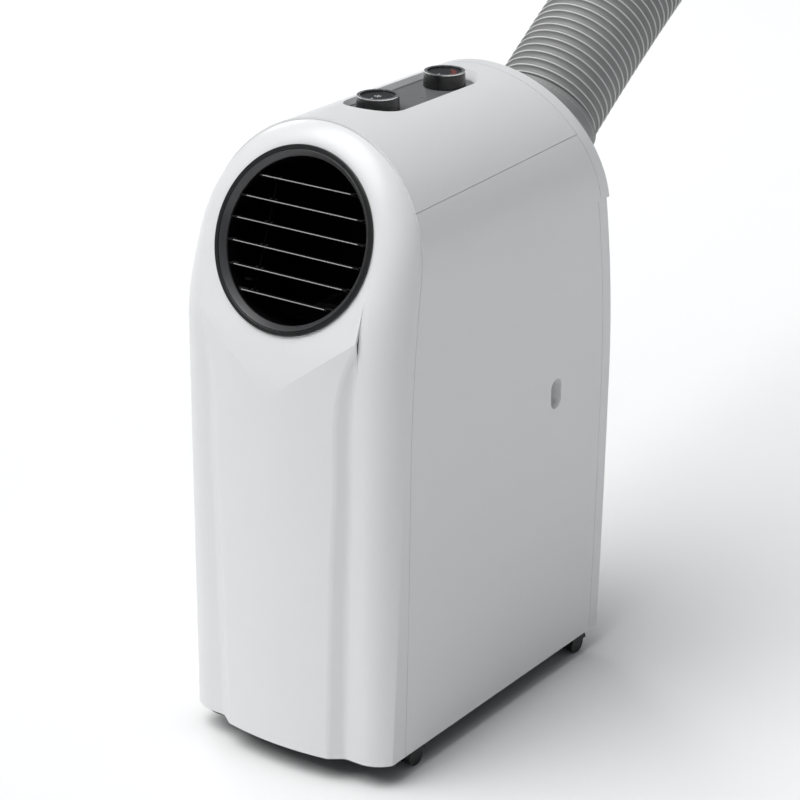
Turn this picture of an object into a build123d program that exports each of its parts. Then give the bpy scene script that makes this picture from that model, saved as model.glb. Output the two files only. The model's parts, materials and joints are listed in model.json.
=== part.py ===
from build123d import *
import math
import os

os.makedirs("parts", exist_ok=True)

# Portable air conditioner. Millimetres, +Z up, -Y is the front with the round vent, +X is its left-hand
# side panel as it faces the room. The origin is on the floor, under the middle of the body and outlet.

# ------------------------------------------------------------------ driving dimensions
front_half_width = 140.0    # half width at the front seam
rear_half_width = 144.0     # half width at the rear seam
overall_depth = 530.0       # centre panel to the lip of the exhaust outlet
base_z = 28.0               # lower edge of the shells above the floor
spring_z = 569.0            # where the arch starts
foot_taper = 6.4            # each side draws in by this much at the bottom
wall = 2.5                  # moulded shell thickness
front_wall = 3.0            # front moulding thickness
seam_gap = 0.6              # open line between neighbouring shells
running = 0.06              # radial clearance of a shaft in its hole

front_face_y = -overall_depth / 2
column_face_y = front_face_y + 18.3
front_seam_y = front_face_y + 59.6
rear_seam_y = front_seam_y + 376.0
rear_face_y = rear_seam_y + 17.0
crown_z = spring_z + front_half_width
lean_start_z = 355.0        # both seams are upright below this height and curve inward above it
front_lean = 43.0
rear_lean = -57.0
cover_seam_front_z = 631.0
cover_seam_rear_z = 647.0

vent_tilt = 20.5            # the face round the vent leans back by this many degrees
vent_y = front_face_y + 45.5
vent_z = 593.0
vent_radius = 99.0          # outside of the bezel
drum_radius = 87.5          # inside of the vent drum
drum_wall = 2.5
drum_depth = 60.0
bezel_proud = 3.0

slat_count = 6
slat_pitch = 24.0
slat_chord = 20.0
slat_thickness = 1.8
slat_pivot_depth = 12.0     # pivot line behind the vent face
slat_swing_room = 4.6       # room beyond a slat's edge line when it is tilted
link_x = -48.0
link_reach = 8.0            # link pin behind the slat pivot

knob_y = (-72.0, 51.0)
knob_radius = 23.5
knob_height = 17.0
plate_top_z = 697.5
recess_radius = 33.0
recess_flare = 7.0          # the recess opens out by this much at the crown
knob_dish = 2.0

hose_tilt = 35.6            # the outlet and the hose rise at this many degrees
outlet_y = 228.9
outlet_z = 605.3
outlet_radius = 62.0
hose_outer = 66.0
hose_inner = 60.0
hose_bends = (12.0, 12.0)   # degrees of turn towards the level at each corner of its route
hose_run = 250.0

condenser_low = 56.0
panel_slope = 24.0          # width of the sloping edge of the centre panel
crease_radius = 12.0       # rounding along both sides of that slope
panel_limit = 101.5         # the panel ends where the bull nose starts
panel_crown = 354.0         # radius of its face in plan

drain_x = 112.0
drain_z = 52.0

caster_x = 112.0
caster_y = (-180.0, 152.0)
wheel_radius = 12.5
caster_trail = 8.0


# ------------------------------------------------------------------ small helpers
def block(x0, x1, y0, y1, z0, z1):
    """Box between two corners."""
    return Solid.make_box(x1 - x0, y1 - y0, z1 - z0, Plane((x0, y0, z0)))


def rod(start, end, radius, bore=0.0):
    """Cylinder, or tube when it has a bore, between two points."""
    axis = Vector(*end) - Vector(*start)
    plane = Plane(origin=start, z_dir=axis)
    shape = Solid.make_cylinder(radius, axis.length, plane)
    if bore:
        shape = shape - Solid.make_cylinder(bore, axis.length, plane)
    return shape


def merged(shapes):
    """Union of a list of solids."""
    total = shapes[0]
    for shape in shapes[1:]:
        total = total + shape
    return total


def cut_all(shape, tools):
    for tool in tools:
        shape = shape - tool
    return shape


def obround(y0, y1, radius, z0, z1):
    """Upright slot-shaped column with its rounded ends at y0 and y1."""
    ends = rod((0, y0, z0), (0, y0, z1), radius) + rod((0, y1, z0), (0, y1, z1), radius)
    return ends + block(-radius, radius, y0, y1, z0, z1)


def save(name, shape):
    export_step(shape, f"parts/{name}.step")


vent_sin = math.sin(math.radians(vent_tilt))
vent_cos = math.cos(math.radians(vent_tilt))
vent_plane = Plane(origin=(0, vent_y, vent_z), x_dir=(1, 0, 0), z_dir=(0, -vent_cos, vent_sin))


def in_vent(x, up, out):
    """Point given in the leaning vent face: across, up the face, out of the face."""
    return (x, vent_y + up * vent_sin - out * vent_cos, vent_z + up * vent_cos + out * vent_sin)


def vent_disc(radius, out0, out1):
    """Cylinder on the vent axis between two distances out of the vent face."""
    return rod(in_vent(0, 0, out0), in_vent(0, 0, out1), radius)


def vent_box(x0, x1, up0, up1, out0, out1):
    plane = Plane(origin=in_vent(x0, up0, out0), x_dir=(1, 0, 0), z_dir=vent_plane.z_dir)
    return Solid.make_box(x1 - x0, up1 - up0, out1 - out0, plane)


# ------------------------------------------------------------------ body envelope
def seam_curve_region(low_y, lean, far_y):
    """Everything between far_y and a surface that stands at low_y and curves inward at the top."""
    rise = crown_z - lean_start_z
    end = (low_y + lean, crown_z)
    beyond = (low_y + lean * 1.4, crown_z + rise * 0.2)
    curve = Bezier((low_y, lean_start_z), (low_y, lean_start_z + rise / 2), end)
    rest = Polyline(end, beyond, (far_y, beyond[1]), (far_y, -20), (low_y, -20), (low_y, lean_start_z))
    face = make_face(curve.edges() + rest.edges())
    return extrude(Plane.YZ * face, amount=250, both=True)


def arch_wire(y, half_width):
    """Upright sides under a half circle, at one depth."""
    spring = crown_z - half_width
    side = Polyline((-half_width, y, spring), (-half_width, y, base_z), (half_width, y, base_z),
                    (half_width, y, spring))
    crown = ThreePointArc((half_width, y, spring), (0, y, crown_z), (-half_width, y, spring))
    return Wire(side.edges() + crown.edges())


def inset_arch_wire(y, half_width, inset):
    """The same outline moved inward, and open below the shells."""
    spring = crown_z - half_width
    inner = half_width - inset
    side = Polyline((-inner, y, spring), (-inner, y, base_z - 5), (inner, y, base_z - 5), (inner, y, spring))
    crown = ThreePointArc((inner, y, spring), (0, y, crown_z - inset), (-inner, y, spring))
    return Wire(side.edges() + crown.edges())


def half_width_at(y):
    share = (y - front_seam_y) / (rear_seam_y - front_seam_y)
    return front_half_width + (rear_half_width - front_half_width) * share


def tube_solid(y0, y1, inset):
    if inset:
        return Solid.make_loft([inset_arch_wire(y, half_width_at(y), inset) for y in (y0, y1)], ruled=True)
    return Solid.make_loft([arch_wire(y, half_width_at(y)) for y in (y0, y1)], ruled=True)


def taper_region(inset):
    """Side limits: upright above, drawn in towards the foot."""
    half = rear_half_width + 30
    spring = spring_z
    tip = front_half_width - foot_taper - inset
    top = front_half_width - inset
    right = Bezier((top, spring), (top, spring - 300), (tip, base_z - 10))
    left = Bezier((-tip, base_z - 10), (-top, spring - 300), (-top, spring))
    over = Polyline((-top, spring), (-half, spring), (-half, crown_z + 60), (half, crown_z + 60),
                    (half, spring), (top, spring))
    under = Line((tip, base_z - 10), (-tip, base_z - 10))
    face = make_face(right.edges() + under.edges() + left.edges() + over.edges())
    return extrude(Plane.XZ * face, amount=400, both=True)


def cover_seam_region(shift):
    """Everything above the line where the top cover meets the side panels."""
    z0 = cover_seam_front_z + shift
    z1 = cover_seam_rear_z + shift
    points = [(front_seam_y - 60, z0), (rear_seam_y + 60, z1), (rear_seam_y + 60, crown_z + 60),
              (front_seam_y - 60, crown_z + 60)]
    return extrude(Plane.YZ * make_face(Polyline(*points, close=True).edges()), amount=250, both=True)


# ------------------------------------------------------------------ front moulding
def lean_profile(face_y, inset):
    """Side view of the front: upright face, then leaning back in the plane of the vent."""
    y = face_y + inset
    plane_y = vent_y + inset / vent_cos
    corner_z = vent_z - (plane_y - y) / math.tan(math.radians(vent_tilt))
    top_y = plane_y + (760 - vent_z) * math.tan(math.radians(vent_tilt))
    face = make_face(Polyline((0, base_z - 5), (y, base_z - 5), (y, corner_z), (top_y, 760), (0, 760),
                              close=True).edges())
    corner = face.vertices().sort_by_distance((y, corner_z, 0))[0]
    return Plane.YZ * fillet(corner, 200)


def front_block(inset, corner_radius):
    """Arch-shaped block behind the two side columns, with a full bull nose all round."""
    half = front_half_width - inset
    floor = base_z - (5 if inset else 0)
    side = Polyline((-half, spring_z), (-half, floor), (half, floor), (half, spring_z))
    crown = RadiusArc((half, spring_z), (0, spring_z + half), -half) + \
        RadiusArc((0, spring_z + half), (-half, spring_z), -half)
    arch = extrude(Plane.XZ * make_face(side.edges() + crown.edges()), amount=400)
    nose = (arch & extrude(lean_profile(column_face_y, inset), amount=200, both=True)).solids()[0]
    fronts = [face for face in nose.faces() if face.normal_at(face.center()).Y < -0.8]
    rim = []
    for edge in nose.edges():
        owners = sum(any(edge.is_same(other) for other in face.edges()) for face in fronts)
        if owners == 1 and edge.center().Z > base_z + 1:
            rim.append(edge)
    return fillet(rim, corner_radius)


def panel_outline(y, grow):
    """Outline of the centre panel at one depth: narrow at the foot, opening out round the vent."""
    side = [(71.5, -20), (71.5, base_z), (74, 160), (77, 290), (79, 350), (81.5, 448), (86, 475), (94, 505), (104, 550)]
    right = Spline(*[(x + grow, y, z) for x, z in side])
    left = Spline(*[(-x - grow, y, z) for x, z in reversed(side)])
    top = Line((104 + grow, y, 550), (-104 - grow, y, 550))
    bottom = Line((-71.5 - grow, y, -20), (71.5 + grow, y, -20))
    return Wire(right.edges() + top.edges() + left.edges() + bottom.edges())


def centre_panel(inset):
    """Raised centre panel with sloping edges and a gently crowned face."""
    depth = column_face_y - front_face_y
    root = panel_outline(column_face_y + 12, panel_slope * (0.5 + 12 / depth) - inset)
    face = panel_outline(front_face_y - 2, -panel_slope * (0.5 + 2 / depth) - inset)
    panel = Solid.make_loft([root, face], ruled=True)
    crown = Solid.make_cylinder(panel_crown, 900, Plane((0, front_face_y + inset + panel_crown, -50)))
    floor = base_z - (5 if inset else 0)
    panel = panel & crown & block(-200, 200, -300, 0, floor, 700)
    return panel & extrude(lean_profile(front_face_y, inset), amount=200, both=True)


def make_front_shell():
    nose = front_block(0, 38)
    limit = nose + block(-panel_limit, panel_limit, -300, 0, base_z, 700)
    outer = nose + centre_panel(0)
    creases = [edge for edge in outer.edges() if edge.bounding_box().size.Z > 400 and edge.center().Y < -225
               and 70 < abs(edge.center().X) < 95]
    outer = outer.fillet(crease_radius, creases) & limit & taper_region(0)
    nose = front_block(front_wall, 38 - front_wall)
    limit = nose + block(-panel_limit, panel_limit, -300, 0, base_z - 5, 700)
    inner = (nose + centre_panel(front_wall)) & limit & taper_region(front_wall)
    ahead = seam_curve_region(front_seam_y - seam_gap / 2, front_lean, -320)
    shell = (outer - inner) & ahead
    return shell - vent_disc(vent_radius - 5, -30, 30)


# ------------------------------------------------------------------ middle and rear shells
def make_middle_shell():
    y0 = front_seam_y - 10
    y1 = rear_seam_y + 10
    skin = (tube_solid(y0, y1, 0) & taper_region(0)) - (tube_solid(y0 - 1, y1 + 1, wall) & taper_region(wall))
    behind = seam_curve_region(front_seam_y + seam_gap / 2, front_lean, 320)
    before = seam_curve_region(rear_seam_y - seam_gap / 2, rear_lean, -320)
    return skin & behind & before


recess_screw_y = 74.0
recess_screw_z = 362.0


def upright_slot(x, width, height):
    """Tall slot outline facing sideways."""
    plane = Plane(origin=(x, recess_screw_y, recess_screw_z), x_dir=(0, 0, 1), z_dir=(1, 0, 0))
    return (plane * SlotOverall(height, width)).wire()


def side_recess(sign):
    """Dished slot for the side fastening, and the cut that opens it."""
    outer = sign * (front_half_width + 6)
    floor = sign * (front_half_width - 20)
    back = sign * (front_half_width - 22.5)
    cut = Solid.make_loft([upright_slot(outer, 24, 40), upright_slot(floor, 13, 24)], ruled=True)
    cup = Solid.make_loft([upright_slot(outer, 29, 45), upright_slot(back, 18, 29)], ruled=True)
    return cup, cut


def make_side_panel(middle, sign):
    lower = middle - cover_seam_region(-seam_gap / 2)
    half_space = block(*((0, 200) if sign > 0 else (-200, 0)), -300, 300, 0, 800)
    panel = lower & half_space
    cup, cut = side_recess(sign)
    inside = tube_solid(front_seam_y, rear_seam_y, 0.5) & taper_region(0.5)
    panel = panel + (cup & inside)
    skin = tube_solid(front_seam_y, rear_seam_y + 20, wall - 0.5) & taper_region(wall - 0.5)
    before = seam_curve_region(rear_face_y - wall - 3.5, rear_lean, -320)
    for z in (90, 240, 400):
        root = block(*sorted((sign * 116, sign * 150)), 150, 166, z - 7, z + 7) & skin
        boss = block(*sorted((sign * 116, sign * 131)), 150, 182, z - 7, z + 7) & before
        panel = panel + root + boss
    panel = cut_all(panel, [rod((x, 120, z), (x, 250, z), 2.1) for x, y, z in screw_points()[:6]])
    panel = panel - cut
    tip = sign * (front_half_width - 20)
    return panel - rod((tip - 6, recess_screw_y, recess_screw_z), (tip + 6, recess_screw_y, recess_screw_z), 2.6)


def slot_outline(z, radius):
    """Level outline round both dials."""
    plane = Plane(origin=(0, (knob_y[0] + knob_y[1]) / 2, z), x_dir=(0, 1, 0), z_dir=(0, 0, 1))
    return (plane * SlotCenterToCenter(knob_y[1] - knob_y[0], 2 * radius)).wire()


def make_top_cover(middle):
    cover = middle & cover_seam_region(seam_gap / 2)
    floor_z = plate_top_z - 3.0
    rim_z = plate_top_z + 1.0
    pocket = obround(knob_y[0], knob_y[1], recess_radius, floor_z, rim_z + 0.1)
    slope = Solid.make_loft([slot_outline(rim_z, recess_radius), slot_outline(crown_z + 3, recess_radius + recess_flare)],
                            ruled=True)
    pocket = pocket + slope
    tub = obround(knob_y[0], knob_y[1], recess_radius + recess_flare + wall, floor_z - wall, crown_z)
    tub = tub & tube_solid(front_seam_y, rear_seam_y, 0.3)
    cover = cover + tub - pocket
    return cut_all(cover, [rod((0, y, floor_z - 10), (0, y, floor_z + 1), 5.0) for y in knob_y])


hose_sin = math.sin(math.radians(hose_tilt))
hose_cos = math.cos(math.radians(hose_tilt))


def along_outlet(distance):
    """Point on the outlet axis, measured from its lip."""
    return (0, outlet_y + distance * hose_cos, outlet_z + distance * hose_sin)


grille_box = (-100, 100, 72, 316)       # x0, x1, z0, z1 of the lower intake
filter_box = (-100, 100, 344, 452)      # of the upper intake


def rear_surface_y(z):
    """Outer face of the rear shell at one height."""
    lean = max(0.0, (z - lean_start_z) / (crown_z - lean_start_z))
    return rear_face_y + rear_lean * lean ** 2


def screw_points():
    """Six points up the edges of the rear shell, then two on the outlet flange."""
    edge = [(x, rear_surface_y(z) + 0.3, z) for z in (90, 240, 400) for x in (-122, 122)]
    flange = [(x, rear_surface_y(480) + 3.7, 480) for x in (-70, 70)]
    return edge + flange


def make_rear_shell():
    y0 = rear_seam_y - 90
    y1 = rear_face_y + 20
    outer = tube_solid(y0, y1, 0) & taper_region(0) & seam_curve_region(rear_face_y, rear_lean, -320)
    inner = tube_solid(y0 - 1, y1, wall) & taper_region(wall) & seam_curve_region(rear_face_y - wall, rear_lean, -320)
    shell = (outer - inner) & seam_curve_region(rear_seam_y + seam_gap / 2, rear_lean, 320)
    openings = [block(x0, x1, 100, 250, z0, z1) for x0, x1, z0, z1 in (grille_box, filter_box)]
    openings.append(rod(along_outlet(-150), along_outlet(40), outlet_radius + 0.5))
    openings.append(rod((-112, 150, 520), (-112, 250, 520), 9.0))
    openings.append(rod((drain_x, 150, drain_z), (drain_x, 250, drain_z), 8.2))
    openings += [rod((x, 120, z), (x, 250, z), 2.1) for x, y, z in screw_points()]
    return cut_all(shell, openings)


def louvre(bounds, y_face, thickness, bars):
    """Framed panel of level bars that fills a rear opening."""
    x0, x1, z0, z1 = bounds
    gap = 0.5
    frame = block(x0 + gap, x1 - gap, y_face - thickness, y_face, z0 + gap, z1 - gap)
    rim = 7.0
    span = z1 - z0 - 2 * rim
    opening = block(x0 + rim, x1 - rim, y_face - thickness - 1, y_face + 1, z0 + rim, z1 - rim)
    pitch = span / (bars + 1)
    slabs = [block(x0 + rim - 1, x1 - rim + 1, y_face - thickness, y_face - 0.6,
                   z0 + rim + pitch * (i + 1) - 1.5, z0 + rim + pitch * (i + 1) + 1.5) for i in range(bars)]
    post = block(-1.5, 1.5, y_face - thickness, y_face - 1.2, z0 + rim - 1, z1 - rim + 1)
    return merged([frame - opening] + slabs + [post])


def make_rear_grille():
    return louvre(grille_box, rear_face_y, 6.0, 18)


def make_air_filter():
    """Upper intake louvre with its filter screen behind; it pulls straight back."""
    x0, x1, z0, z1 = filter_box
    y_face = rear_face_y - 6.4
    face = louvre(filter_box, y_face, 6.0, 6)
    grip = block(-22, 22, y_face - 1, y_face + 5, z1 - 7, z1 - 2)
    screen = block(x0 + 4, x1 - 4, y_face - 12, y_face - 6, z0 + 4, z1 - 4)
    cells = []
    for i in range(6):
        left = x0 + 10 + i * 30.6
        cells.append(block(left, left + 27, y_face - 13, y_face - 7.2, z0 + 10, z1 - 10))
    return face + grip + cut_all(screen, cells)


# ------------------------------------------------------------------ base
def base_outline(inset):
    """Plan of the body: side columns with round corners and the raised centre panel."""
    half = front_half_width - foot_taper - front_wall - 0.3 - inset
    column = column_face_y + front_wall + inset
    panel = front_face_y + front_wall + 6.5 + inset
    back = rear_face_y - wall - inset
    step_root = 80.0 - inset
    step_face = 62.0 - inset
    points = [(-half, back), (-half, column), (-step_root, column), (-step_face, panel), (step_face, panel),
              (step_root, column), (half, column), (half, back)]
    face = make_face(Polyline(*points, close=True).edges())
    corners = [v for v in face.vertices() if abs(abs(v.X) - half) < 0.1 and v.Y < 0]
    return fillet(corners, 34)


def caster_points():
    return [(sx * caster_x, y) for y in caster_y for sx in (-1, 1)]


def make_base_pan():
    floor_z = base_z - 3.5
    pan = extrude(base_outline(0), amount=42)
    cavity = extrude(base_outline(2.5), amount=60)
    pan = Pos(0, 0, floor_z) * pan - Pos(0, 0, floor_z + 3) * cavity
    for x, y in caster_points():
        wall_ring = rod((x, y, floor_z), (x, y, 38.5), 31) & Pos(0, 0, 0) * extrude(base_outline(0), amount=60)
        pan = pan + wall_ring
        pan = pan - rod((x, y, floor_z - 1), (x, y, 36), 28.5)
        pan = pan + rod((x, y, 36), (x, y, 52), 8)
        pan = pan - rod((x, y, 30), (x, y, 60), 4 + running)
    for x in (-60, 0, 60):
        pan = pan + block(x - 12, x + 12, 120, 156, floor_z + 2, condenser_low)
    return pan - rod((drain_x, rear_face_y - 12, drain_z), (drain_x, rear_face_y, drain_z), 8.2)


def make_caster_fork(x, y):
    """Hood between the two wheels with its stem and retaining collar."""
    axle = (y + caster_trail, wheel_radius)
    hood = rod((x - 4, axle[0], axle[1]), (x + 4, axle[0], axle[1]), wheel_radius + 2.5)
    hood = hood - block(x - 5, x + 5, y - 30, y + 40, -5, 7)
    fender = rod((x - 15, axle[0], axle[1]), (x + 15, axle[0], axle[1]), wheel_radius + 2.5)
    fender = fender - rod((x - 13.6, axle[0], axle[1]), (x + 13.6, axle[0], axle[1]), wheel_radius + 0.8)
    fender = fender - block(x - 20, x + 20, y - 30, y + 40, -10, wheel_radius + 2)
    boss = rod((x, y, 22), (x, y, 35.6), 8)
    stem = rod((x, y, 35), (x, y, 52.5), 4)
    clip = rod((x, y, 52.4), (x, y, 54.4), 6)
    body = merged([hood, fender, boss, stem, clip])
    body = body - rod((x - 13.6, axle[0], axle[1]), (x - 4, axle[0], axle[1]), wheel_radius + 0.8)
    body = body - rod((x + 4, axle[0], axle[1]), (x + 13.6, axle[0], axle[1]), wheel_radius + 0.8)
    return body - rod((x - 20, axle[0], axle[1]), (x + 20, axle[0], axle[1]), 2.5 + running)


def make_caster_wheels(x, y):
    """Twin wheels on one axle."""
    axle = (y + caster_trail, wheel_radius)
    parts = [rod((x - 13, axle[0], axle[1]), (x + 13, axle[0], axle[1]), 2.5)]
    for side in (-1, 1):
        near = x + side * 4.6
        far = x + side * 13
        parts.append(rod((near, axle[0], axle[1]), (far, axle[0], axle[1]), wheel_radius))
    return merged(parts)


# ------------------------------------------------------------------ vent
def make_vent_bezel():
    """Round bezel: flat outer ring, chamfer inward, and a short sleeve in the shell's hole."""
    ring = vent_disc(vent_radius, 0, bezel_proud) + vent_disc(vent_radius - 5.4, -6, 0.5)
    throat = vent_disc(drum_radius, -7, bezel_proud + 1)
    start = Plane(origin=in_vent(0, 0, bezel_proud + 0.01), z_dir=(0, vent_cos, -vent_sin))
    chamfer = Solid.make_cone(vent_radius - 4.5, drum_radius, 6, start)
    return ring - throat - chamfer


def slat_rise(i):
    return -1.5 + slat_pitch * ((slat_count - 1) / 2 - i)


def make_vent_drum():
    drum = vent_disc(drum_radius + drum_wall, -drum_depth, -6.05) - vent_disc(drum_radius, -drum_depth - 1, 0)
    holes = []
    for i in range(slat_count):
        start = in_vent(-110, slat_rise(i), -slat_pivot_depth)
        end = in_vent(110, slat_rise(i), -slat_pivot_depth)
        holes.append(rod(start, end, 2 + running))
    return cut_all(drum, holes)


def make_slat(i):
    """Thin louvre blade with end pins, and a slotted ear for the link behind it."""
    up = slat_rise(i)
    half = math.sqrt(drum_radius ** 2 - (abs(up) + slat_swing_room) ** 2) - 0.6
    reach = math.sqrt((drum_radius + drum_wall) ** 2 - up ** 2) - 0.8
    out = -slat_pivot_depth
    blade = vent_box(-half, half, up - slat_thickness / 2, up + slat_thickness / 2,
                     out - slat_chord / 2, out + slat_chord / 2)
    pins = [rod(in_vent(s * (half - 6), up, out), in_vent(s * reach, up, out), 2.0) for s in (-1, 1)]
    pin_out = out - link_reach
    ear = rod(in_vent(link_x - 5, up, pin_out), in_vent(link_x + 5, up, pin_out), 3.0)
    slot = vent_box(link_x - 2.2, link_x + 2.2, up - 6, up + 6, pin_out - 8, pin_out + 5)
    hole = rod(in_vent(link_x - 12, up, pin_out), in_vent(link_x + 12, up, pin_out), 1.5 + running)
    return merged([blade, ear] + pins) - slot - hole


def make_slat_link():
    """Bar behind the blades that turns them together, with its finger tab."""
    out = -slat_pivot_depth - link_reach
    low = slat_rise(slat_count - 1)
    high = slat_rise(0)
    bar = vent_box(link_x - 1, link_x + 1, low - 2.5, high + 2.5, out - 2.5, out + 2.5)
    pins = [rod(in_vent(link_x - 4.8, slat_rise(i), out), in_vent(link_x + 4.8, slat_rise(i), out), 1.5)
            for i in range(slat_count)]
    tab_up = low + slat_pitch / 2
    tab = vent_box(link_x - 4, link_x + 4, tab_up - 1.2, tab_up + 1.2, out - 1, -2)
    return merged([bar, tab] + pins)


# ------------------------------------------------------------------ controls
def make_control_plate():
    plate = obround(knob_y[0], knob_y[1], recess_radius - 0.4, plate_top_z - 3, plate_top_z)
    return cut_all(plate, [rod((0, y, plate_top_z - 5), (0, y, plate_top_z + 1), 5.0) for y in knob_y])


def make_knob(y):
    """Drum-shaped knob with a dished top, on its shaft."""
    low = plate_top_z + 0.5
    top = plate_top_z + knob_height
    skirt = Solid.make_cone(knob_radius, knob_radius - 1.2, knob_height - 1.5, Plane((0, y, low)))
    dish = rod((0, y, top - knob_dish), (0, y, top + 1), knob_radius - 4.5)
    shaft = rod((0, y, plate_top_z - 20), (0, y, low + 1), 3.0)
    return skirt - dish + shaft


def make_knob_trim(y):
    """Bright ring on the knob's rim."""
    top = plate_top_z + knob_height
    return rod((0, y, top - 1.0), (0, y, top), knob_radius - 1.2, knob_radius - 4.5)


def make_switch(y):
    """Rotary control body under the recess floor."""
    top = plate_top_z - 3 - wall
    body = block(-17, 17, y - 17, y + 17, top - 26, top - 3)
    neck = rod((0, y, top - 4), (0, y, top), 4.9)
    return body + neck - rod((0, y, top - 20), (0, y, top + 1), 3.0 + running)


# ------------------------------------------------------------------ cold side
scroll_z = 431.0
scroll_y = (-160.0, -96.0)
scroll_radius = 94.0


def make_divider_plate():
    plate = Pos(0, 0, 330) * extrude(base_outline(1.5), amount=3)
    plate = plate & block(-140, 140, front_seam_y - 25, rear_seam_y, 320, 340)
    tabs = [block(*sorted((side * 113.5, side * 116.5)), 60, 88, 332, 378) for side in (-1, 1)]
    holes = [block(-60, 60, 47, 104, 320, 340), rod((-122, -84, 320), (-122, -84, 340), 6),
             rod((-130, recess_screw_y, recess_screw_z), (130, recess_screw_y, recess_screw_z), 2.4)]
    return cut_all(merged([plate] + tabs), holes)


def make_drip_tray():
    tray = block(-120, 120, -74, -14, 333.1, 348)
    return tray - block(-118, 118, -72, -16, 335, 350)


def make_fins(y0, y1, z0, z1, half):
    """Finned coil block: a solid core with slots between the fins on both faces."""
    core = block(-half, half, y0, y1, z0, z1)
    pitch = 10.0
    count = int((2 * half - 12) / pitch)
    depth = (y1 - y0) / 2 - 3
    slots = []
    for i in range(count):
        x = -half + 8 + i * pitch
        slots.append(block(x, x + 7, y0 - 1, y0 + depth, z0 + 5, z1 - 5))
        slots.append(block(x, x + 7, y1 - depth, y1 + 1, z0 + 5, z1 - 5))
    return cut_all(core, slots)


def make_bends(y0, y1, z0, z1, half):
    """Return bends at both ends of a coil."""
    bends = []
    y = (y0 + y1) / 2
    rows = int((z1 - z0 - 30) / 36)
    for i in range(rows):
        z = z0 + 18 + i * 36
        for side in (-1, 1):
            ring = Solid.make_torus(9, 3.2, Plane(origin=(side * half, y, z + 9), z_dir=(0, 1, 0)))
            outside = block(*((half, half + 20) if side > 0 else (-half - 20, -half)), y - 9, y + 9, z - 10, z + 28)
            bends.append(ring & outside)
    return Compound([part for bend in bends for part in bend.solids()])


def make_blower_scroll():
    """Room-air fan scroll, opening upward into the box behind the vent drum."""
    y0, y1 = scroll_y
    room = extrude(lean_profile(column_face_y, 8), amount=200, both=True)
    outer = rod((0, y0, scroll_z), (0, y1, scroll_z), scroll_radius) + (block(-94, 94, -200, y1, 496, 652) & room)
    outer = outer + block(-94, 94, y0, y1, scroll_z, 500)
    inner = rod((0, y0 + 2, scroll_z), (0, y1 - 2, scroll_z), scroll_radius - 2)
    inner = inner + (block(-92, 92, -198, y1 - 2, 498, 650) & room) + block(-92, 92, y0 + 2, y1 - 2, scroll_z, 500)
    cuts = [vent_disc(drum_radius + drum_wall + 0.3, -drum_depth - 0.3, 20),
            rod((0, y1 - 3, scroll_z), (0, y1 + 1, scroll_z), 58), rod((0, y0 - 1, scroll_z), (0, y0 + 3, scroll_z), 6)]
    return cut_all(outer - inner, cuts)


def make_wheel(y0, y1, z, radius, blades, shaft_y):
    """Squirrel-cage wheel: back disc, end ring, blades and shaft."""
    parts = [rod((0, y0, z), (0, y0 + 2.5, z), radius), rod((0, y1 - 4, z), (0, y1, z), radius, radius - 12),
             rod((0, y0, z), (0, y0 + 22, z), 12), rod((0, shaft_y, z), (0, y0 + 1, z), 4)]
    for i in range(blades):
        angle = 360 * i / blades
        blade = block(-0.8, 0.8, y0 + 1, y1 - 1, radius - 11.5, radius - 0.5)
        parts.append(Pos(0, 0, z) * Rot(0, angle, 0) * blade)
    return merged(parts)


def make_motor(y0, y1, z, radius, shaft_end):
    """Motor can with its mounting flange and open shaft bore."""
    can = rod((0, y0, z), (0, y1, z), radius)
    near = y1 if shaft_end > y1 - 1 else y0
    flange = rod((0, near - 3, z), (0, near, z), radius + 7) if near == y1 else \
        rod((0, near, z), (0, near + 3, z), radius + 7)
    return can + flange - rod((0, near - 40, z), (0, near + 40, z), 4 + running)


# ------------------------------------------------------------------ hot side
exhaust_z = 180.0
exhaust_y = (40.0, 106.0)
exhaust_radius = 100.0


def make_exhaust_housing():
    y0, y1 = exhaust_y
    outer = rod((0, y0, exhaust_z), (0, y1, exhaust_z), exhaust_radius) + block(-62, 62, y0, y1, exhaust_z, 329)
    inner = rod((0, y0 + 2, exhaust_z), (0, y1 - 2, exhaust_z), exhaust_radius - 2)
    inner = inner + block(-60, 60, y0 + 2, y1 - 2, exhaust_z, 331)
    cuts = [rod((0, y1 - 3, exhaust_z), (0, y1 + 1, exhaust_z), 62),
            rod((0, y0 - 1, exhaust_z), (0, y0 + 3, exhaust_z), 6)]
    return cut_all(outer - inner, cuts)


def make_exhaust_duct():
    """Upright duct from the hot fan to the back of the outlet."""
    outer = block(-64, 64, 45, 132, 333.2, 640)
    inner = block(-62, 62, 47, 130, 332, 638)
    mouth = rod(along_outlet(-170), along_outlet(0), outlet_radius + 0.3)
    floor_cut = block(-62, 62, 47, 106, 330, 336)
    room = tube_solid(front_seam_y, rear_seam_y, wall + 1) & seam_curve_region(rear_face_y - 8, rear_lean, -320)
    return ((outer - inner) & room) - mouth - floor_cut


def make_outlet_collar():
    """Sloping outlet with the flange that holds it to the rear shell."""
    stub = rod(along_outlet(-118), along_outlet(0), outlet_radius, outlet_radius - 3)
    rib = rod(along_outlet(-9), along_outlet(-5), outlet_radius + 2, outlet_radius - 3)
    band = seam_curve_region(rear_face_y + 3.2, rear_lean, -320) & seam_curve_region(rear_face_y + 0.2, rear_lean, 320)
    plate = block(-78, 78, 60, 260, 462, 655) & band
    hollow = rod(along_outlet(-150), along_outlet(60), outlet_radius - 3)
    inside = seam_curve_region(rear_face_y + 40, rear_lean, -320)
    stub = (stub & inside) + rod(along_outlet(-30), along_outlet(0), outlet_radius, outlet_radius - 3)
    holes = [rod((x, 60, z), (x, 260, z), 2.1) for x, y, z in screw_points()[6:]]
    return cut_all(stub + rib + plate, [hollow] + holes)


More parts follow.
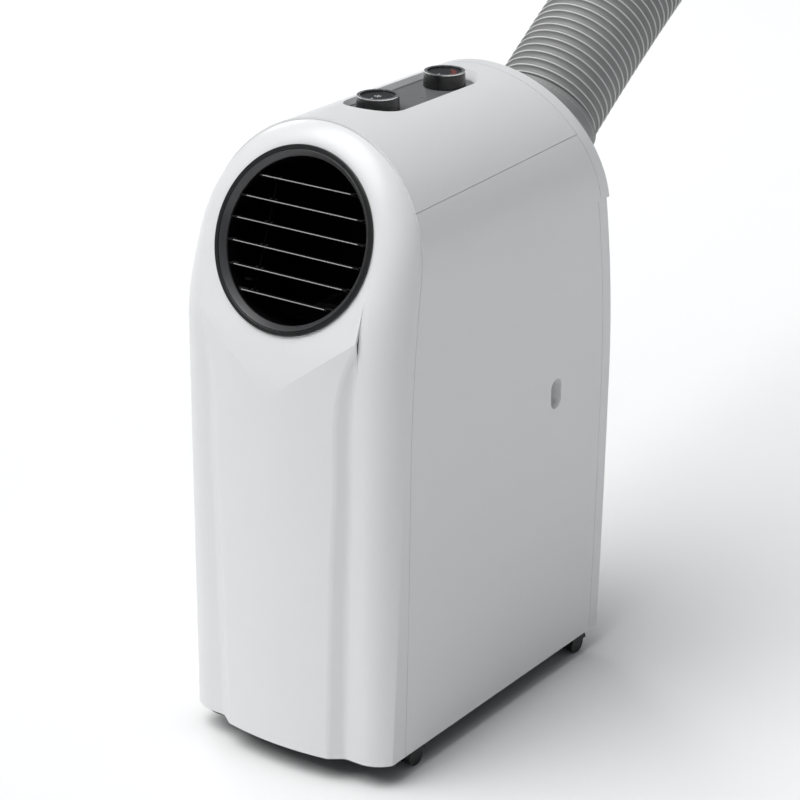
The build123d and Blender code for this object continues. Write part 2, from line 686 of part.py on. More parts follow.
def make_compressor():
    """Welded can on a triangular foot, with its accumulator bottle."""
    can = rod((0, -120, 50), (0, -120, 222), 54)
    dome = Solid.make_cone(54, 30, 16, Plane((0, -120, 222)))
    foot = rod((0, -120, 46), (0, -120, 50), 72)
    bottle = rod((74, -120, 70), (74, -120, 190), 17)
    strap = block(50, 60, -126, -114, 120, 140)
    holes = [rod((x, y, 40), (x, y, 52), 4.5) for x, y in mount_points()]
    return cut_all(merged([can, dome, foot, bottle, strap]), holes)


def mount_points():
    return [(63 * math.sin(math.radians(a)), -120 + 63 * math.cos(math.radians(a))) for a in (60, 180, 300)]


def make_compressor_mounts():
    mounts = []
    for x, y in mount_points():
        low = rod((x, y, 27.5), (x, y, 46), 9)
        mounts.append(low + rod((x, y, 45), (x, y, 50.5), 4.4) + rod((x, y, 50), (x, y, 54), 6.5))
    return Compound([part for mount in mounts for part in mount.solids()])


def pipe(points, radius, bend):
    route = FilletPolyline(*points, radius=bend)
    section = Plane(origin=points[0], z_dir=route % 0) * Circle(radius)
    return sweep(section, path=route)


def make_refrigerant_pipes():
    """Discharge and suction lines between the compressor and the two coils."""
    suction = pipe([(74, -120, 190), (74, -120, 262), (74, -150, 262), (-122, -150, 262), (-122, -84, 262),
                    (-122, -84, 394), (-122, -44, 394), (-108, -44, 394)], 4.0, 6)
    discharge = pipe([(0, -120, 238), (0, -120, 290), (-106, -120, 290), (-106, 105, 290), (-122, 105, 290),
                      (-122, 138, 290), (-108, 138, 290)], 4.0, 6)
    return Compound([suction.solids()[0], discharge.solids()[0]])


# ------------------------------------------------------------------ electrics, drain, screws
def make_control_box():
    box = block(40, 112, 0, 40, 500, 600)
    return box - block(42, 110, 2, 41, 502, 598)


def make_capacitor():
    return rod((60, 20, 502.1), (60, 20, 566), 15) + rod((56, 20, 566), (56, 20, 572), 2) + \
        rod((64, 20, 566), (64, 20, 572), 2)


def make_cord_gland():
    """Bushing in the rear shell where the mains lead would enter."""
    x, z = -112, 520
    y = rear_surface_y(z)
    sleeve = rod((x, y - 14, z), (x, y + 10, z), 8.8)
    collar = rod((x, y + 2.0, z), (x, y + 5, z), 12)
    return sleeve + collar - rod((x, y - 20, z), (x, y + 20, z), 4.2)


def make_drain_spigot():
    """Condensate outlet low on the back."""
    nut = rod((drain_x, rear_face_y - 10, drain_z), (drain_x, rear_face_y - 5.3, drain_z), 11)
    neck = rod((drain_x, rear_face_y - 6, drain_z), (drain_x, rear_face_y + 0.6, drain_z), 8)
    flange = rod((drain_x, rear_face_y, drain_z), (drain_x, rear_face_y + 3, drain_z), 12)
    spout = rod((drain_x, rear_face_y + 2.5, drain_z), (drain_x, rear_face_y + 24, drain_z), 7)
    bore = rod((drain_x, rear_face_y - 11, drain_z), (drain_x, rear_face_y + 25, drain_z), 5)
    return merged([nut, neck, flange, spout]) - bore


def screw(head, direction, radius, length):
    """Pan-head screw with a cross recess, its head's underside at the given point."""
    tip = tuple(h + d * length for h, d in zip(head, direction))
    crown = tuple(h - d * radius * 0.8 for h, d in zip(head, direction))
    body = rod(head, tip, radius * 0.5) + rod(crown, head, radius)
    plane = Plane(origin=crown, z_dir=direction)
    slot = plane * (Box(radius * 1.3, radius * 0.3, radius * 0.8) + Box(radius * 0.3, radius * 1.3, radius * 0.8))
    return body - slot


def make_recess_screws():
    screws = []
    for side in (-1, 1):
        head = (side * (front_half_width - 20), recess_screw_y, recess_screw_z)
        screws.append(screw(head, (-side, 0, 0), 4.6, 14))
    return Compound([part for item in screws for part in item.solids()])


def make_shell_screws():
    """Screws up the sides of the rear shell and through the outlet flange."""
    screws = [screw(point, (0, -1, 0), 4.0, 14) for point in screw_points()]
    return Compound([part for item in screws for part in item.solids()])


# ------------------------------------------------------------------ exhaust hose
def hose_route():
    """Corner points of the hose: out of the outlet, then easing over towards the level."""
    points = [Vector(*along_outlet(0.1))]
    angle = hose_tilt
    for bend in (0.0,) + hose_bends:
        angle -= bend
        step = Vector(0, math.cos(math.radians(angle)), math.sin(math.radians(angle))) * hose_run
        points.append(points[-1] + step)
    return points


def make_hose():
    points = hose_route()
    radii = [0.45 * hose_run / math.tan(math.radians(bend) / 2) for bend in hose_bends]
    print("hose bend radii", [round(r) for r in radii])
    route = FilletPolyline(*points, radius=radii)
    section = Plane(origin=points[0], z_dir=route % 0) * (Circle(hose_outer) - Circle(hose_inner))
    hose = sweep(section, path=route)
    print("hose length", round(route.length), "volume ratio",
          round(hose.volume / (math.pi * (hose_outer ** 2 - hose_inner ** 2) * route.length), 4))
    return hose


def make_hose_cuff():
    """Clamping cuff round the hose end, against the outlet lip."""
    return rod(along_outlet(0.4), along_outlet(26), hose_outer + 3.5, hose_outer)


def make_window_nozzle():
    """Adapter at the far end: round sleeve opening into a flat mouth."""
    points = hose_route()
    axis = (points[-1] - points[-2]).normalized()
    start = points[-1]

    def section(distance, half_x, half_up, corner):
        plane = Plane(origin=start + axis * distance, x_dir=(1, 0, 0), z_dir=axis)
        return (plane * RectangleRounded(2 * half_x, 2 * half_up, corner)).wire()

    outer = Solid.make_loft([section(20, 67, 67, 66), section(90, 105, 36, 22)], ruled=True)
    inner = Solid.make_loft([section(20, 64, 64, 63), section(90, 102, 33, 19)], ruled=True)
    sleeve = rod(start + axis * 0.05, start + axis * 20, 67, 60)
    lip = Plane(origin=start + axis * 95, x_dir=(1, 0, 0), z_dir=axis) * Box(216, 78, 10)
    mouth = Plane(origin=start + axis * 95, x_dir=(1, 0, 0), z_dir=axis) * Box(203, 65, 14)
    return (outer - inner) + sleeve + (lip - mouth)


# ------------------------------------------------------------------ write every piece
middle_shell = make_middle_shell()
parts = {
    "front_shell": make_front_shell(),
    "top_cover": make_top_cover(middle_shell),
    "side_panel_left": make_side_panel(middle_shell, -1),
    "side_panel_right": make_side_panel(middle_shell, 1),
    "rear_shell": make_rear_shell(),
    "rear_grille": make_rear_grille(),
    "air_filter": make_air_filter(),
    "base_pan": make_base_pan(),
    "vent_bezel": make_vent_bezel(),
    "vent_drum": make_vent_drum(),
    "slat_link": make_slat_link(),
    "control_plate": make_control_plate(),
    "mode_knob": make_knob(knob_y[0]),
    "mode_knob_trim": make_knob_trim(knob_y[0]),
    "thermostat_knob": make_knob(knob_y[1]),
    "thermostat_knob_trim": make_knob_trim(knob_y[1]),
    "mode_switch": make_switch(knob_y[0]),
    "thermostat": make_switch(knob_y[1]),
    "divider_plate": make_divider_plate(),
    "drip_tray": make_drip_tray(),
    "evaporator_fins": make_fins(-64, -24, 349, 590, 108),
    "evaporator_bends": make_bends(-64, -24, 349, 590, 108),
    "blower_scroll": make_blower_scroll(),
    "blower_wheel": make_wheel(scroll_y[0] + 8, scroll_y[1] - 8, scroll_z, 72, 24, scroll_y[0] - 30),
    "blower_motor": make_motor(scroll_y[0] - 42, scroll_y[0] - 0.1, scroll_z, 36, scroll_y[0]),
    "condenser_fins": make_fins(118, 158, condenser_low, 322, 108),
    "condenser_bends": make_bends(118, 158, condenser_low, 322, 108),
    "exhaust_fan_housing": make_exhaust_housing(),
    "exhaust_wheel": make_wheel(exhaust_y[0] + 8, exhaust_y[1] - 8, exhaust_z, 78, 24, exhaust_y[0] - 30),
    "exhaust_motor": make_motor(exhaust_y[0] - 50, exhaust_y[0] - 0.1, exhaust_z, 40, exhaust_y[0]),
    "exhaust_duct": make_exhaust_duct(),
    "outlet_collar": make_outlet_collar(),
    "compressor": make_compressor(),
    "compressor_mounts": make_compressor_mounts(),
    "refrigerant_pipes": make_refrigerant_pipes(),
    "control_box": make_control_box(),
    "capacitor": make_capacitor(),
    "cord_gland": make_cord_gland(),
    "drain_spigot": make_drain_spigot(),
    "recess_screws": make_recess_screws(),
    "shell_screws": make_shell_screws(),
    "hose_duct": make_hose(),
    "hose_cuff": make_hose_cuff(),
    "window_nozzle": make_window_nozzle(),
}
for index in range(slat_count):
    parts[f"slat_{index + 1}"] = make_slat(index)
for corner, (x, y) in zip(("front_left", "front_right", "rear_left", "rear_right"), caster_points()):
    parts[f"caster_fork_{corner}"] = make_caster_fork(x, y)
    parts[f"caster_wheels_{corner}"] = make_caster_wheels(x, y)

for name, shape in parts.items():
    save(name, shape)
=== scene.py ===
import bpy
import json
import math
from mathutils import Matrix, Vector


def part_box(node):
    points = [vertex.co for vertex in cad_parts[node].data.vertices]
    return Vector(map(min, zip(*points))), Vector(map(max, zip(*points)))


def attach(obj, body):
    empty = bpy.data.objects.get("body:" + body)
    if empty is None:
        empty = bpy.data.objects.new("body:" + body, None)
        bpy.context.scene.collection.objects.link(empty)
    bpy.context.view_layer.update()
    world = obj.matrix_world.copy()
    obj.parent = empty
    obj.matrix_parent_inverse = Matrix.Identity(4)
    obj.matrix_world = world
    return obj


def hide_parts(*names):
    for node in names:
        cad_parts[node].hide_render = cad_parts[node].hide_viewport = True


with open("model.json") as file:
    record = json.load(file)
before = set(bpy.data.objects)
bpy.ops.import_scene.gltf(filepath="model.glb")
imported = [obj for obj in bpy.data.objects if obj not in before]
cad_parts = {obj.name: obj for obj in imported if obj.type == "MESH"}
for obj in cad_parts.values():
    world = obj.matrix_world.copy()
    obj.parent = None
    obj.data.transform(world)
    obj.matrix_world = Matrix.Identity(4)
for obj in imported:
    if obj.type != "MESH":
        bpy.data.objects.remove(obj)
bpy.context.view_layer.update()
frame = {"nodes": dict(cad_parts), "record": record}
MM = 0.001

# ------------------------------------------------------------------ places worked out from the frame
KNOB_CENTRES = {}
for dial in ("mode_knob", "thermostat_knob"):
    low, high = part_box(dial)
    KNOB_CENTRES[dial] = Vector(((low[0] + high[0]) / 2, (low[1] + high[1]) / 2, high[2]))

JOINTS = {joint["name"]: joint for joint in frame["record"]["behaviour"]["joints"]}

VENT_TILT = math.radians(20.5)      # lean of the vent face
VENT_CENTRE = Vector((0, -0.2195, 0.593))
VENT_ACROSS = Vector((1, 0, 0))
VENT_UP = Vector((0, math.sin(VENT_TILT), math.cos(VENT_TILT)))
VENT_OUT = Vector((0, -math.cos(VENT_TILT), math.sin(VENT_TILT)))

HOSE_RADIUS = 66 * MM
HOSE_BORE = 60 * MM
RIB_PITCH = 10.6 * MM
RIB_DEPTH = 4.2 * MM
CUFF_WALL = 3.5 * MM
CUFF_LENGTH = 26 * MM
RIB_HIGHLIGHT_RADIUS = 0.9 * MM       # radius of the light band painted round each rib crest as a highlight


# ------------------------------------------------------------------ materials
class Nodes:
    """Short way to write a node material."""

    def __init__(self, name, colour, roughness, metallic=0.0):
        self.material = bpy.data.materials.new(name)
        self.material.use_nodes = True
        self.tree = self.material.node_tree
        self.shader = self.tree.nodes["Principled BSDF"]
        self.shader.inputs["Base Color"].default_value = (*colour, 1)
        self.shader.inputs["Roughness"].default_value = roughness
        self.shader.inputs["Metallic"].default_value = metallic
        self.material.diffuse_color = (*colour, 1)
        self.place = self.tree.nodes.new("ShaderNodeTexCoord").outputs["Object"]

    def noise(self, scale, detail=4.0, stretch=None):
        place = self.place
        if stretch:
            mapping = self.tree.nodes.new("ShaderNodeMapping")
            mapping.inputs["Scale"].default_value = stretch
            self.tree.links.new(place, mapping.inputs["Vector"])
            place = mapping.outputs["Vector"]
        noise = self.tree.nodes.new("ShaderNodeTexNoise")
        noise.inputs["Scale"].default_value = scale
        noise.inputs["Detail"].default_value = detail
        self.tree.links.new(place, noise.inputs["Vector"])
        return noise.outputs["Fac"]

    def between(self, value, low, high, socket):
        """Sends a 0 to 1 value to a shader socket as a range or a blend of two colours."""
        if isinstance(low, tuple):
            ramp = self.tree.nodes.new("ShaderNodeValToRGB")
            ramp.color_ramp.elements[0].position = 0.3
            ramp.color_ramp.elements[1].position = 0.7
            ramp.color_ramp.elements[0].color = (*low, 1)
            ramp.color_ramp.elements[1].color = (*high, 1)
            self.tree.links.new(value, ramp.inputs["Fac"])
            self.tree.links.new(ramp.outputs["Color"], self.shader.inputs[socket])
        else:
            spread = self.tree.nodes.new("ShaderNodeMapRange")
            spread.inputs["From Min"].default_value = 0.3
            spread.inputs["From Max"].default_value = 0.7
            spread.inputs["To Min"].default_value = low
            spread.inputs["To Max"].default_value = high
            self.tree.links.new(value, spread.inputs["Value"])
            self.tree.links.new(spread.outputs["Result"], self.shader.inputs[socket])

    def bump(self, value, distance, strength=1.0):
        bump = self.tree.nodes.new("ShaderNodeBump")
        bump.inputs["Strength"].default_value = strength
        bump.inputs["Distance"].default_value = distance
        self.tree.links.new(value, bump.inputs["Height"])
        self.tree.links.new(bump.outputs["Normal"], self.shader.inputs["Normal"])


def shaded(colour, share):
    return tuple(channel * share for channel in colour)


def moulded(name, colour, roughness, grain=0.00002, grain_scale=1400.0, spread=0.04):
    """Moulded plastic: fine grain, slight unevenness of colour and gloss."""
    nodes = Nodes(name, colour, roughness)
    darker = shaded(colour, 1 - spread)
    lighter = shaded(colour, 1 + spread / 2)
    nodes.between(nodes.noise(6.0, 3.0), darker, lighter, "Base Color")
    nodes.between(nodes.noise(40.0, 5.0), roughness - 0.03, roughness + 0.04, "Roughness")
    nodes.bump(nodes.noise(grain_scale, 2.0), grain)
    return nodes.material


def metal(name, colour, roughness, stretch=(1, 1, 1), grain=0.00001):
    """Bare metal with a drawn or rolled grain."""
    nodes = Nodes(name, colour, roughness, metallic=1.0)
    nodes.between(nodes.noise(120.0, 6.0, stretch), shaded(colour, 0.85), colour, "Base Color")
    nodes.between(nodes.noise(300.0, 4.0, stretch), roughness - 0.06, roughness + 0.08, "Roughness")
    nodes.bump(nodes.noise(900.0, 3.0, stretch), grain)
    return nodes.material


WHITE = moulded("white_shell", (0.74, 0.74, 0.745), 0.34, grain=0.000006, grain_scale=900.0, spread=0.012)
WHITE.node_tree.nodes["Principled BSDF"].inputs["Coat Weight"].default_value = 0.25
WHITE.node_tree.nodes["Principled BSDF"].inputs["Coat Roughness"].default_value = 0.22
GREY = moulded("grey_plastic", (0.20, 0.20, 0.205), 0.42)
PLATE = moulded("control_plate_grey", (0.14, 0.14, 0.145), 0.30)
BLACK = moulded("black_plastic", (0.012, 0.012, 0.012), 0.55)
# near-black with almost no gloss: black plastic darkened further as painted shade for the deep vent interior
VENT_SHADE_BLACK = moulded("vent_black_painted_shade", (0.0025, 0.0025, 0.0025), 0.85)
VENT_SHADE_BLACK.node_tree.nodes["Principled BSDF"].inputs["Specular IOR Level"].default_value = 0.05
BEZEL = moulded("bezel_black", (0.012, 0.012, 0.012), 0.28, grain=0.000008)
GLOSS = moulded("knob_black", (0.010, 0.010, 0.010), 0.26, grain=0.000004)
LOUVRE = moulded("louvre_black", (0.006, 0.006, 0.006), 0.55, grain=0.000006)
LOUVRE.node_tree.nodes["Principled BSDF"].inputs["Specular IOR Level"].default_value = 0.15
# light grey colour: a painted highlight along the front edges of the louvre blades
LOUVRE_HIGHLIGHT = moulded("louvre_edge_painted_highlight", (0.42, 0.42, 0.42), 0.32, grain=0.000004)
CHAMFER = moulded("bezel_chamfer", (0.050, 0.050, 0.052), 0.30, grain=0.000006)
# light grey colour: a painted highlight round the crest of every hose rib
RIB_HIGHLIGHT = moulded("hose_rib_highlight", (0.62, 0.62, 0.61), 0.42, grain=0.00001, spread=0.06)
RUBBER = moulded("rubber", (0.012, 0.012, 0.012), 0.75)
HOSE = moulded("hose_grey", (0.24, 0.24, 0.24), 0.50, grain=0.00003, grain_scale=700.0, spread=0.10)
CHROME = metal("chrome", (0.80, 0.80, 0.80), 0.24, grain=0.000002)
ZINC = metal("zinc_steel", (0.55, 0.55, 0.54), 0.34)
SHEET = metal("galvanised_sheet", (0.50, 0.51, 0.51), 0.42)
FIN = metal("aluminium_fins", (0.72, 0.72, 0.72), 0.36, stretch=(1, 1, 8))
COPPER = metal("copper_tube", (0.72, 0.32, 0.17), 0.28)
ENAMEL = moulded("black_enamel", (0.015, 0.015, 0.016), 0.30)
PRINT = moulded("white_print", (0.62, 0.62, 0.62), 0.55, grain=0.000004)
RED = moulded("red_print", (0.13, 0.016, 0.015), 0.45, grain=0.000004)

FINISHES = {
    WHITE: ("front_shell", "top_cover", "side_panel_left", "side_panel_right", "rear_shell", "outlet_collar",
            "window_nozzle"),
    GREY: ("rear_grille", "air_filter", "drip_tray", "exhaust_duct"),
    PLATE: ("control_plate",),
    BLACK: ("base_pan", "mode_switch", "thermostat", "blower_wheel", "exhaust_wheel", "drain_spigot"),
    # painted shade: the grey blower scroll and the vent drum are darkened so the vent interior reads as
    # shadow
    VENT_SHADE_BLACK: ("vent_drum", "blower_scroll", "slat_link"),
    BEZEL: ("vent_bezel",),
    GLOSS: ("mode_knob", "thermostat_knob"),
    CHROME: ("mode_knob_trim", "thermostat_knob_trim"),
    RUBBER: ("compressor_mounts", "cord_gland"),
    HOSE: ("hose_duct", "hose_cuff"),
    ZINC: ("recess_screws", "shell_screws", "blower_motor", "exhaust_motor"),
    SHEET: ("divider_plate", "exhaust_fan_housing", "control_box"),
    FIN: ("evaporator_fins", "condenser_fins", "capacitor"),
    COPPER: ("evaporator_bends", "condenser_bends", "refrigerant_pipes"),
    ENAMEL: ("compressor",),
}


def finish_of(node):
    for material, names in FINISHES.items():
        if node in names:
            return material
    return LOUVRE if node.startswith("slat_") else BLACK


def dress(obj, material):
    """Gives every material slot of an object the same material."""
    if not obj.material_slots:
        obj.data.materials.append(material)
    for slot in obj.material_slots:
        slot.link = "OBJECT"
        slot.material = material


def soften(obj, width, segments=3):
    """Rounds the sharp edges of a CAD node."""
    bevel = obj.modifiers.new("soft_edges", "BEVEL")
    bevel.width = width
    bevel.segments = segments
    bevel.limit_method = "ANGLE"
    bevel.angle_limit = math.radians(40)
    bevel.harden_normals = False


SOFT_EDGES = {"control_plate": 0.4, "mode_knob": 0.5, "thermostat_knob": 0.5, "mode_knob_trim": 0.25,
              "thermostat_knob_trim": 0.25, "hose_cuff": 1.0, "outlet_collar": 0.6}

for name, node in frame["nodes"].items():
    dress(node, finish_of(name))
    if name in SOFT_EDGES:
        soften(node, SOFT_EDGES[name] * MM)
    if name.startswith("slat_") and name != "slat_link":
        soften(node, 0.5 * MM)


# ------------------------------------------------------------------ mesh helpers
def mesh_object(name, vertices, faces, material, smooth=True):
    mesh = bpy.data.meshes.new(name)
    mesh.from_pydata([tuple(v) for v in vertices], [], faces)
    mesh.validate()
    mesh.update()
    obj = bpy.data.objects.new(name, mesh)
    bpy.context.scene.collection.objects.link(obj)
    mesh.materials.append(material)
    if smooth:
        mesh.shade_smooth()
    return obj


def turned(name, profile, centre, axis, across, material, segments=128):
    """Ring or disc turned round an axis from (radius, height) points; a closed profile is solid."""
    other = axis.cross(across)
    vertices = []
    for i in range(segments):
        angle = 2 * math.pi * i / segments
        spoke = across * math.cos(angle) + other * math.sin(angle)
        vertices += [centre + spoke * radius + axis * height for radius, height in profile]
    count = len(profile)
    faces = []
    for i in range(segments):
        a = i * count
        b = ((i + 1) % segments) * count
        for j in range(count):
            k = (j + 1) % count
            faces.append((a + j, b + j, b + k, a + k))
    return mesh_object(name, vertices, faces, material)


def rounded(points, radius, steps=5):
    """Closed outline with each corner rounded."""
    result = []
    count = len(points)
    for i in range(count):
        corner = Vector(points[i])
        before = (Vector(points[i - 1]) - corner)
        after = (Vector(points[(i + 1) % count]) - corner)
        reach = min(radius, before.length * 0.45, after.length * 0.45)
        start = corner + before.normalized() * reach
        end = corner + after.normalized() * reach
        for step in range(steps + 1):
            t = step / steps
            result.append(tuple(start * (1 - t) ** 2 + corner * 2 * t * (1 - t) + end * t ** 2))
    return result


def bar(name, centre, axes, sizes, material):
    """Small flat-sided bar on three given axes."""
    corners = []
    for i in (-0.5, 0.5):
        for j in (-0.5, 0.5):
            for k in (-0.5, 0.5):
                steps = (axes[0] * sizes[0] * i, axes[1] * sizes[1] * j, axes[2] * sizes[2] * k)
                corners.append(centre + steps[0] + steps[1] + steps[2])
    faces = [(0, 1, 3, 2), (4, 6, 7, 5), (0, 4, 5, 1), (2, 3, 7, 6), (0, 2, 6, 4), (1, 5, 7, 3)]
    return mesh_object(name, corners, faces, material, smooth=False)


# ------------------------------------------------------------------ vent bezel
def make_bezel():
    """Flat outer ring, a fine groove, then a chamfer down into the throat."""
    outer = [(99.0, 0.0), (99.0, 2.7), (94.4, 3.0), (94.0, 1.0), (93.4, 0.0)]
    inner = [(93.8, 0.2), (93.8, 2.2), (93.2, 2.6), (88.4, -2.6), (87.6, -3.4), (87.6, -6.0), (93.4, -6.0)]
    for name, outline, material in (("bezel_ring", outer, BEZEL), ("bezel_chamfer", inner, CHAMFER)):
        profile = rounded([(r * MM, h * MM) for r, h in outline], 0.7 * MM, 4)
        ring = turned(name, profile, VENT_CENTRE, VENT_OUT, VENT_ACROSS, material, 160)
        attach(ring, "cabinet")
        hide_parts("vent_bezel")


def make_louvre_highlight_strips():
    """Rounded light-grey strip along the front of each louvre blade: a painted highlight for the light
    caught on its front edge.
    """
    for i in range(1, 7):
        low, high = [Vector(corner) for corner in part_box(f"slat_{i}")]
        pivot = Vector(JOINTS[f"louvre_{i}_tilt"]["pos_m"])
        half = (high.x - low.x) / 2 - 11 * MM
        front = pivot + VENT_OUT * 10.0 * MM
        outline = rounded([(-0.55, -0.8), (0.55, -0.8), (0.55, 0.55), (-0.55, 0.55)], 0.4, 4)
        vertices = []
        for x in (-half, half):
            end = front + VENT_ACROSS * x
            vertices += [end + VENT_UP * u * MM + VENT_OUT * (o - 0.5) * MM for u, o in outline]
        count = len(outline)
        faces = [(j, (j + 1) % count, count + (j + 1) % count, count + j) for j in range(count)]
        faces += [tuple(reversed(range(count))), tuple(range(count, 2 * count))]
        highlight_strip = mesh_object(f"louvre_highlight_strip_{i}", vertices, faces, LOUVRE_HIGHLIGHT, smooth=False)
        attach(highlight_strip, f"louvre_{i}")


make_louvre_highlight_strips()
make_bezel()


# ------------------------------------------------------------------ dials
UP = Vector((0, 0, 1))
RIGHT = Vector((1, 0, 0))
BACK = Vector((0, 1, 0))


def dial_disc(name, knob, body):
    """Shallow dished disc inside the bright ring."""
    centre = KNOB_CENTRES[knob] - UP * 1.95 * MM
    profile = rounded([(0.2 * MM, 0), (18.4 * MM, 0), (18.4 * MM, 1.4 * MM), (15.5 * MM, 0.9 * MM),
                       (0.2 * MM, 0.7 * MM)], 0.3 * MM, 3)
    disc = turned(name, profile, centre, UP, RIGHT, GLOSS, 96)
    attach(disc, body)
    return centre + UP * 0.9 * MM


def ribs_round(name, knob, body, count=36):
    """Fine grip ribs up the side of a knob."""
    centre = KNOB_CENTRES[knob]
    vertices = []
    faces = []
    for i in range(count):
        angle = 2 * math.pi * i / count
        spoke = RIGHT * math.cos(angle) + BACK * math.sin(angle)
        side = UP.cross(spoke)
        base = len(vertices)
        for height, radius in ((-15.0, 22.9), (-3.2, 22.0)):
            for across, out in ((-0.55, 0.0), (-0.3, 0.55), (0.3, 0.55), (0.55, 0.0)):
                vertices.append(centre + spoke * (radius + out) * MM + side * across * MM + UP * height * MM)
        for j in range(3):
            faces.append((base + j, base + j + 1, base + j + 5, base + j + 4))
        faces.append((base + 3, base + 2, base + 1, base))
        faces.append((base + 4, base + 5, base + 6, base + 7))
        faces.append((base + 3, base, base + 4, base + 7))
    ribs = mesh_object(name, vertices, faces, GLOSS, smooth=False)
    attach(ribs, body)


def make_dials():
    for knob, body in (("mode_knob", "mode_dial"), ("thermostat_knob", "thermostat_dial")):
        face = dial_disc(knob + "_disc", knob, body)
        ribs_round(knob + "_grip", knob, body)
        tip = face - BACK * 11.5 * MM
        mark = bar(knob + "_pointer", tip, (RIGHT, BACK, UP), (1.1 * MM, 5 * MM, 0.3 * MM), PRINT)
        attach(mark, body)
        for i in range(3):
            turn = math.radians(60 * i)
            along = RIGHT * math.cos(turn) + BACK * math.sin(turn)
            across = UP.cross(along)
            if knob == "mode_knob":
                size = (9 * MM, 0.9 * MM, 0.3 * MM)
                spoke = bar(f"{knob}_symbol_{i}", face, (along, across, UP), size, PRINT)
                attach(spoke, body)
    face = KNOB_CENTRES["thermostat_knob"] - UP * 0.95 * MM
    vertices = []
    faces = []
    steps = 14
    for i in range(steps + 1):
        angle = math.radians(-20 + 110 * i / steps)
        spoke = RIGHT * math.cos(angle) + BACK * math.sin(angle)
        for radius in (8.5, 13.5):
            vertices.append(face + spoke * radius * MM)
    for i in range(steps):
        faces.append((2 * i, 2 * i + 1, 2 * i + 3, 2 * i + 2))
    warm = mesh_object("thermostat_warm_sector", vertices, faces, RED, smooth=False)
    thick = warm.modifiers.new("thickness", "SOLIDIFY")
    thick.thickness = 0.25 * MM
    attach(warm, "thermostat_dial")


make_dials()


# ------------------------------------------------------------------ exhaust hose
HOSE_ROUTE = [
    (0.0, 0.22898, 0.60536),
    (0.0, 0.43225, 0.75089),
    (0.0, 0.66134, 0.85098),
    (0.0, 0.90623, 0.90125),
]


def spline_line(points):
    """Points read from the route's smooth spline."""
    curve = bpy.data.curves.new("hose_route", "CURVE")
    curve.dimensions = "3D"
    curve.resolution_u = 64
    spline = curve.splines.new("NURBS")
    spline.points.add(len(points) - 1)
    for target, point in zip(spline.points, points):
        target.co = (*point, 1)
    spline.order_u = 3
    spline.use_endpoint_u = True
    carrier = bpy.data.objects.new("hose_route", curve)
    bpy.context.scene.collection.objects.link(carrier)
    mesh = bpy.data.meshes.new_from_object(carrier)
    line = [vertex.co.copy() for vertex in mesh.vertices]
    bpy.data.objects.remove(carrier)
    return line


def evenly(line, step):
    """The same line with points at an even spacing."""
    lengths = [0.0]
    for a, b in zip(line, line[1:]):
        lengths.append(lengths[-1] + (b - a).length)
    count = int(lengths[-1] / step)
    result = []
    index = 0
    for i in range(count + 1):
        target = lengths[-1] * i / count
        while index < len(line) - 2 and lengths[index + 1] < target:
            index += 1
        span = lengths[index + 1] - lengths[index]
        share = (target - lengths[index]) / span if span else 0
        result.append(line[index].lerp(line[index + 1], share))
    return result, lengths[-1]


def make_rib_highlights(path, length):
    """Light band round the crest of every rib: a painted highlight for the light caught on the rib tops."""
    around = 72
    section = 8
    vertices = []
    faces = []
    step = length / (len(path) - 1)
    for rib in range(1, int(length / RIB_PITCH)):
        index = min(round(rib * RIB_PITCH / step), len(path) - 2)
        along = (path[index + 1] - path[index - 1]).normalized()
        up = RIGHT.cross(along) * -1
        seat = HOSE_RADIUS + (CUFF_WALL if rib * RIB_PITCH < CUFF_LENGTH else 0)
        base = len(vertices)
        for i in range(around):
            angle = 2 * math.pi * i / around
            spoke = RIGHT * math.cos(angle) + up * math.sin(angle)
            centre = path[index] + spoke * (seat - RIB_HIGHLIGHT_RADIUS * 0.9)
            for j in range(section):
                turn = 2 * math.pi * j / section
                offset = spoke * math.cos(turn) + along * math.sin(turn)
                vertices.append(centre + offset * RIB_HIGHLIGHT_RADIUS)
        for i in range(around):
            a = base + i * section
            b = base + (i + 1) % around * section
            for j in range(section):
                k = (j + 1) % section
                faces.append((a + j, b + j, b + k, a + k))
    rib_highlights = mesh_object("hose_rib_highlights", vertices, faces, RIB_HIGHLIGHT)
    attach(rib_highlights, "cabinet")
    return rib_highlights


def make_hose():
    """Ribbed duct: rounded ribs at a steady pitch, with a bore inside."""
    line = spline_line(HOSE_ROUTE)
    path, length = evenly(line, RIB_PITCH / 8)
    sides = 72
    vertices = []
    faces = []
    rows = []
    for i, point in enumerate(path):
        ahead = path[min(i + 1, len(path) - 1)] - path[max(i - 1, 0)]
        along = ahead.normalized()
        up = RIGHT.cross(along) * -1
        phase = (i * length / (len(path) - 1)) / RIB_PITCH
        ridge = 1 - abs(math.sin(math.pi * phase)) ** 0.7
        radius = HOSE_RADIUS - RIB_DEPTH * (1 - ridge)
        row = []
        for j in range(sides):
            angle = 2 * math.pi * j / sides
            row.append(len(vertices))
            vertices.append(point + (RIGHT * math.cos(angle) + up * math.sin(angle)) * radius)
        rows.append(row)
    for near, far in zip(rows, rows[1:]):
        for j in range(sides):
            k = (j + 1) % sides
            faces.append((near[j], near[k], far[k], far[j]))
    inner = {}
    for end, row in ((0, rows[0]), (-1, rows[-1])):
        centre = path[end]
        inner[end] = []
        for index in row:
            spoke = (vertices[index] - centre).normalized()
            inner[end].append(len(vertices))
            vertices.append(centre + spoke * HOSE_BORE)
    for j in range(sides):
        k = (j + 1) % sides
        faces.append((rows[0][k], rows[0][j], inner[0][j], inner[0][k]))
        faces.append((rows[-1][j], rows[-1][k], inner[-1][k], inner[-1][j]))
    hose = mesh_object("ribbed_hose", vertices, faces, HOSE)
    rib_highlights = make_rib_highlights(path, length)
    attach(hose, "cabinet")
    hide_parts("hose_duct")


make_hose()


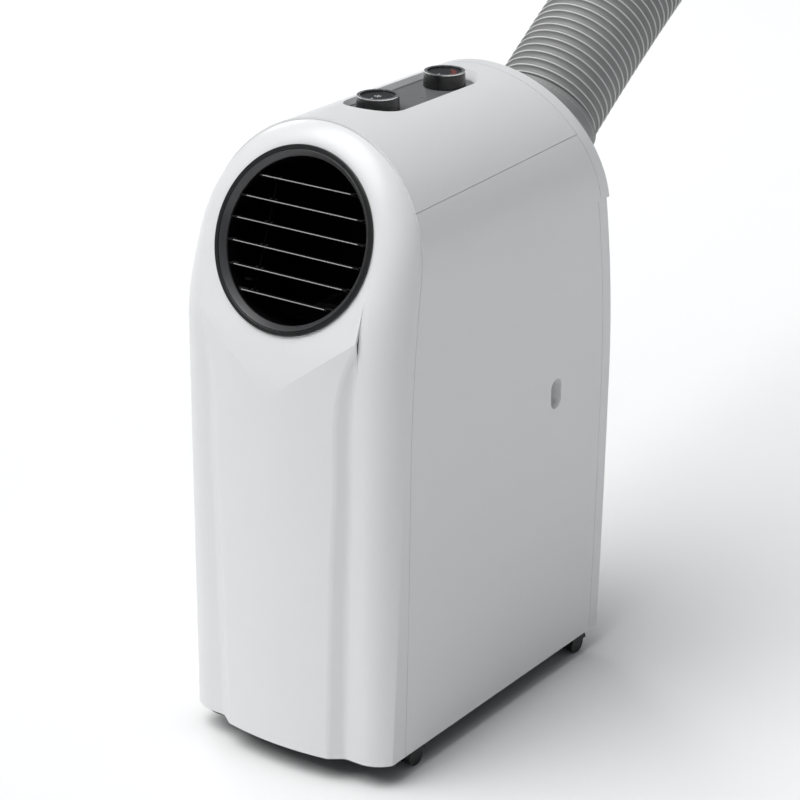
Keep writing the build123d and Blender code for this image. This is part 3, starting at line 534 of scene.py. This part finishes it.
# ------------------------------------------------------------------ floor, light and camera
def make_floor():
    size = 30.0
    corners = [(-size, -size, 0), (size, -size, 0), (size, size, 0), (-size, size, 0)]
    material = moulded("floor_white", (0.80, 0.80, 0.80), 0.9, spread=0.004)
    floor = mesh_object("floor", corners, [(0, 1, 2, 3)], material, smooth=False)


def area_light(name, place, target, size, power):
    """Soft panel light aimed at a point."""
    light = bpy.data.lights.new(name, "AREA")
    light.shape = "RECTANGLE"
    light.size, light.size_y = size
    light.energy = power
    obj = bpy.data.objects.new(name, light)
    obj.location = place
    obj.rotation_euler = (Vector(target) - Vector(place)).to_track_quat("-Z", "Y").to_euler()
    bpy.context.scene.collection.objects.link(obj)


def sun(name, towards, strength, spread):
    """Distant soft light that shines from the given direction."""
    light = bpy.data.lights.new(name, "SUN")
    light.energy = strength
    light.angle = math.radians(spread)
    obj = bpy.data.objects.new(name, light)
    obj.rotation_euler = Vector(towards).to_track_quat("Z", "Y").to_euler()
    bpy.context.scene.collection.objects.link(obj)


def make_lights():
    sun("key_light", (-0.25, -0.40, 0.88), 2.7, 50)
    sun("top_light", (0.0, 0.0, 1.0), 0.6, 60)
    area_light("rim_light", (-3.4, 2.2, 2.6), (0, 0, 0.6), (1.6, 1.2), 36)
    world = bpy.data.worlds.new("studio")
    world.use_nodes = True
    world.node_tree.nodes["Background"].inputs["Color"].default_value = (0.90, 0.95, 1, 1)
    world.node_tree.nodes["Background"].inputs["Strength"].default_value = 0.18
    bpy.context.scene.world = world
    bpy.context.scene.view_settings.view_transform = "Standard"


def make_camera():
    camera = bpy.data.cameras.new("camera")
    camera.lens = 118.4
    camera.sensor_width = 36
    camera.shift_x = 0.0023
    camera.shift_y = 0.0039
    camera.clip_end = 100
    obj = bpy.data.objects.new("camera", camera)
    place = Vector((1.5763, -2.2409, 1.4463))
    target = Vector((-0.0158, -0.0115, 0.3418))
    turn = (target - place).to_track_quat("-Z", "Y").to_matrix().to_4x4()
    roll = Matrix.Rotation(math.radians(0.19), 4, "Z")
    obj.matrix_world = Matrix.Translation(place) @ turn @ roll
    bpy.context.scene.collection.objects.link(obj)
    bpy.context.scene.camera = obj


make_floor()
make_lights()
make_camera()
